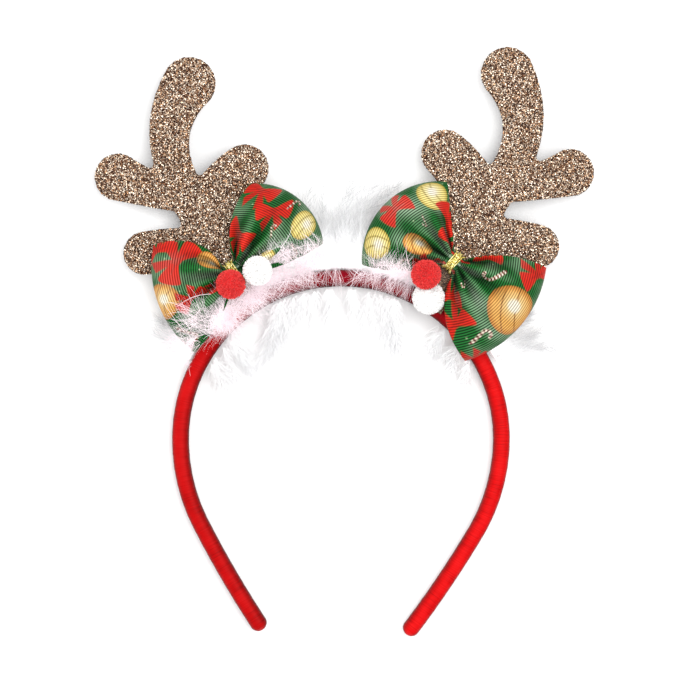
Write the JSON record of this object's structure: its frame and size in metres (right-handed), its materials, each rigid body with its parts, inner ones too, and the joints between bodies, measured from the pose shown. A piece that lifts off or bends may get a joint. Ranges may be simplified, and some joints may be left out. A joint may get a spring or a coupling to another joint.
{
  "type": "reindeer antler headband",
  "caption": "Festive hair hoop with a red wrapped band, flat glitter antlers, printed ribbon bows, small pompoms and a white feather trim along the crown; worn on the head.",
  "frame": {"origin": "on the flat back of the hoop, under the middle of the crown's centreline", "axes": "+Z out of the front of the headband, up as it lies flat; +Y from the crown toward the antler tips; +X to the right seen from the front"},
  "size_m": [0.1866, 0.2221, 0.0285],
  "materials": {
    "band_red": "satin",
    "antler_glitter": "satin",
    "bow_print": "matte",
    "gold_thread": "gloss",
    "pompom_red": "matte",
    "pompom_white": "matte",
    "feather_white": "matte"
  },
  "bodies": {
    "root": {"band": "band_red", "antler_right": "antler_glitter", "antler_left": "antler_glitter", "bow_right": "bow_print", "bow_left": "bow_print", "bow_tie_right": "gold_thread", "bow_tie_left": "gold_thread", "pompom_red_left": "pompom_red", "pompom_white_left": "pompom_white", "pompom_red_right": "pompom_red", "pompom_white_right": "pompom_white", "feather_trim": "feather_white"}
  },
  "joints": []
}
